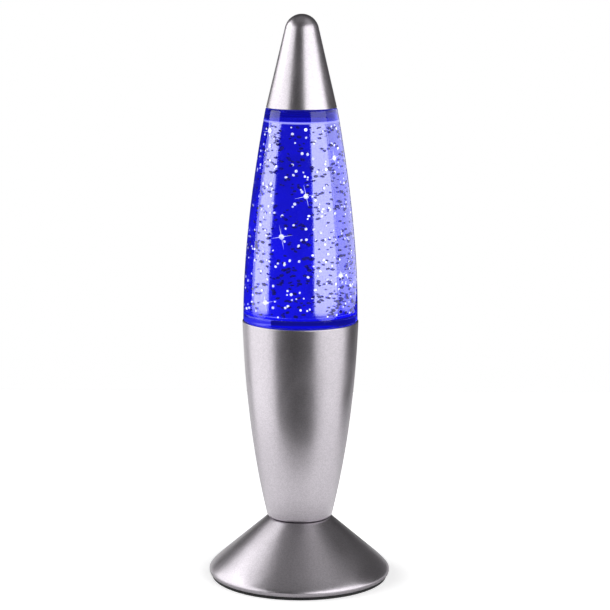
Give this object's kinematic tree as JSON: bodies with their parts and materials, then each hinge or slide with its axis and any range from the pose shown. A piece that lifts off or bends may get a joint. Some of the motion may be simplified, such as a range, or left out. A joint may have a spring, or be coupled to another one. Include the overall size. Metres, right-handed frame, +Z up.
{
  "type": "glitter lamp",
  "caption": "Rocket-shaped glitter lamp: cone base with cells, vase body with lights and magnet drive, lift-out bottle of liquid with stirrer, and pointed cap.",
  "frame": {"origin": "centre of the foot ring's resting face, on the lamp's axis", "axes": "+Z up along the lamp's axis, -Y towards the viewer, +X to the viewer's right"},
  "size_m": [0.1066, 0.1066, 0.3295],
  "materials": {
    "silver_shell": "satin metallic silver paint on moulded plastic",
    "black_rubber": "matt",
    "black_plastic": "fine moulded texture",
    "white_plastic": "moulded",
    "steel": "plated",
    "brass": "turned",
    "cell_sleeve": "plain shrink sleeve",
    "circuit_board": "solder mask",
    "light_lens": "clear dome, lit blue",
    "clear_plastic": "clear and polished",
    "blue_liquid": "clear liquid with glitter, lit blue",
    "magnet": "nickel plated",
    "red_lead": "insulated",
    "black_lead": "insulated"
  },
  "bodies": {
    "stand": {"foot_ring": "black_rubber", "base_shell": "silver_shell", "base_plate": "black_plastic", "plate_screw_1": "steel", "plate_screw_2": "steel", "plate_screw_3": "steel", "plate_screw_4": "steel", "battery_tray": "black_plastic", "spring_left": "steel", "cell_left": "cell_sleeve", "contact_left": "brass", "spring_middle": "steel", "cell_middle": "cell_sleeve", "contact_middle": "brass", "spring_right": "steel", "cell_right": "cell_sleeve", "contact_right": "brass", "switch_housing": "black_plastic", "body_shell": "silver_shell", "neck_tube": "steel", "neck_nut_lower": "brass", "neck_nut_upper": "brass", "lamp_frame": "white_plastic", "motor_can": "steel", "motor_end_cap": "white_plastic", "lamp_board": "circuit_board", "light_1": "light_lens", "light_2": "light_lens", "light_3": "light_lens", "light_4": "light_lens", "light_window": "clear_plastic", "frame_screw_1": "steel", "frame_screw_2": "steel", "frame_screw_3": "steel", "lead_red": "red_lead", "lead_black": "black_lead"},
    "magnet_rotor": {"motor_shaft": "steel", "magnet_holder": "white_plastic", "drive_magnet_1": "magnet", "drive_magnet_2": "magnet"},
    "bottle": {"bottle": "clear_plastic", "liquid": "blue_liquid", "neck_stopper": "black_rubber", "screw_closure": "white_plastic", "stirrer_pin": "steel", "stirrer_retainer": "white_plastic"},
    "stirrer": {"stirrer_wheel": "white_plastic", "stirrer_magnet_1": "magnet", "stirrer_magnet_2": "magnet"},
    "cap": {"cap_shell": "silver_shell", "cap_liner": "black_rubber"},
    "power_switch": {"switch_slider": "white_plastic"},
    "battery_door": {"battery_door": "black_plastic", "door_screw": "steel"}
  },
  "joints": [
    {"name": "rotor_spin", "type": "hinge", "parent": "stand", "child": "magnet_rotor", "pos_m": [0, 0, 0.14], "axis": [0, 0, 1], "continuous": true},
    {"name": "bottle_lift", "type": "slide", "parent": "stand", "child": "bottle", "axis": [0, 0, 1], "range_m": [0, 0.04]},
    {"name": "stirrer_spin", "type": "hinge", "parent": "bottle", "child": "stirrer", "pos_m": [0, 0, 0.16], "axis": [0, 0, 1], "continuous": true},
    {"name": "cap_lift", "type": "slide", "parent": "bottle", "child": "cap", "axis": [0, 0, 1], "range_m": [0, 0.03]},
    {"name": "switch_slide", "type": "slide", "parent": "stand", "child": "power_switch", "axis": [0, 1, 0], "range_m": [0, 0.0025]},
    {"name": "battery_door_drop", "type": "slide", "parent": "stand", "child": "battery_door", "axis": [0, 0, -1], "range_m": [0, 0.03]}
  ],
  "couplings": [
    {"joint": "stirrer_spin", "follows": "rotor_spin", "ratio": 1}
  ]
}
